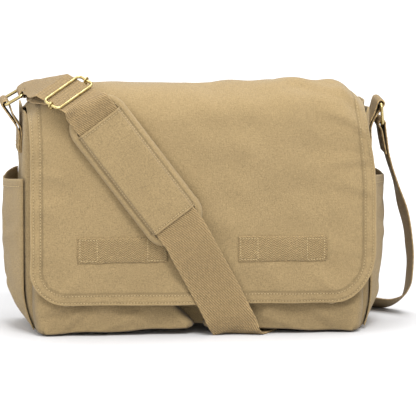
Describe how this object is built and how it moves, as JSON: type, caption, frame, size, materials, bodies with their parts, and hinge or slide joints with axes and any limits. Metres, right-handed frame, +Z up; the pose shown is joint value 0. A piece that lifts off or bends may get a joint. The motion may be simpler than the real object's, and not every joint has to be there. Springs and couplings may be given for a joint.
{
  "type": "messenger bag",
  "caption": "Canvas messenger bag with a wide hemmed flap, brass rings and slide buckle, and a webbing strap with a padded shoulder cover.",
  "frame": {"origin": "bottom centre of the whole part's bounding box", "axes": "+X to the bag's right as seen from the front, +Y to the back, +Z up; the flap faces -Y"},
  "size_m": [0.4536, 0.231, 0.2885],
  "materials": {
    "canvas": "matte",
    "canvas_shade": "matte",
    "webbing": "matte",
    "hook_and_loop": "matte",
    "foam": "matte",
    "brass": "satin"
  },
  "bodies": {
    "bag": {"front_panel": "canvas", "back_panel": "canvas", "base_panel": "canvas", "gusset_left": "canvas", "gusset_right": "canvas", "flap_rear": "canvas", "pocket_loop_left": "hook_and_loop", "pocket_loop_right": "hook_and_loop", "front_pocket_left_band": "canvas_shade", "front_pocket_left_face": "canvas", "front_pocket_right_band": "canvas_shade", "front_pocket_right_face": "canvas", "side_pocket_left": "canvas", "side_pocket_right": "canvas", "ring_tab_left": "webbing", "ring_tab_right": "webbing"},
    "flap": {"flap_panel": "canvas", "flap_hem": "canvas", "flap_webbing_left": "webbing", "flap_webbing_right": "webbing", "flap_hook_left": "hook_and_loop", "flap_hook_right": "hook_and_loop"},
    "left_ring": {"ring_left": "brass"},
    "right_ring": {"ring_right": "brass"},
    "strap": {"strap_front": "webbing", "strap_left_upper": "webbing", "strap_left_lower": "webbing", "strap_under": "webbing", "strap_right_lower": "webbing", "strap_right_upper": "webbing"},
    "buckle": {"slide_frame": "brass", "slide_bar": "brass"},
    "shoulder_pad": {"pad_backing": "canvas_shade", "pad_foam": "foam", "pad_top": "canvas", "pad_binding": "canvas_shade", "pad_cover": "canvas"}
  },
  "joints": [
    {"name": "flap_open", "type": "hinge", "parent": "bag", "child": "flap", "pos_m": [-0.01436, -0.01406, 0.275], "axis": [1, 0, 0], "range_deg": [-120, 0]},
    {"name": "strap_swing", "type": "hinge", "parent": "flap", "child": "strap", "pos_m": [-0.01436, -0.00906, 0.2418], "axis": [-0.9954, 0, 0.0962], "range_deg": [0, 120], "deforming": ["strap_left_upper", "strap_left_lower", "strap_under", "strap_right_upper"]},
    {"name": "buckle_slide", "type": "slide", "parent": "strap", "child": "buckle", "axis": [0.7083, -0.5986, -0.3741], "range_m": [-0.01, 0.004]},
    {"name": "pad_slide", "type": "slide", "parent": "strap", "child": "shoulder_pad", "axis": [0.6018, 0, -0.7986], "range_m": [0, 0.02]},
    {"name": "left_ring_swing", "type": "hinge", "parent": "bag", "child": "left_ring", "pos_m": [-0.22196, -0.00906, 0.249], "axis": [0, -1, 0], "range_deg": [0, 150]},
    {"name": "right_ring_swing", "type": "hinge", "parent": "bag", "child": "right_ring", "pos_m": [0.18864, -0.00906, 0.244], "axis": [0, -1, 0], "range_deg": [-12, 75]}
  ]
}
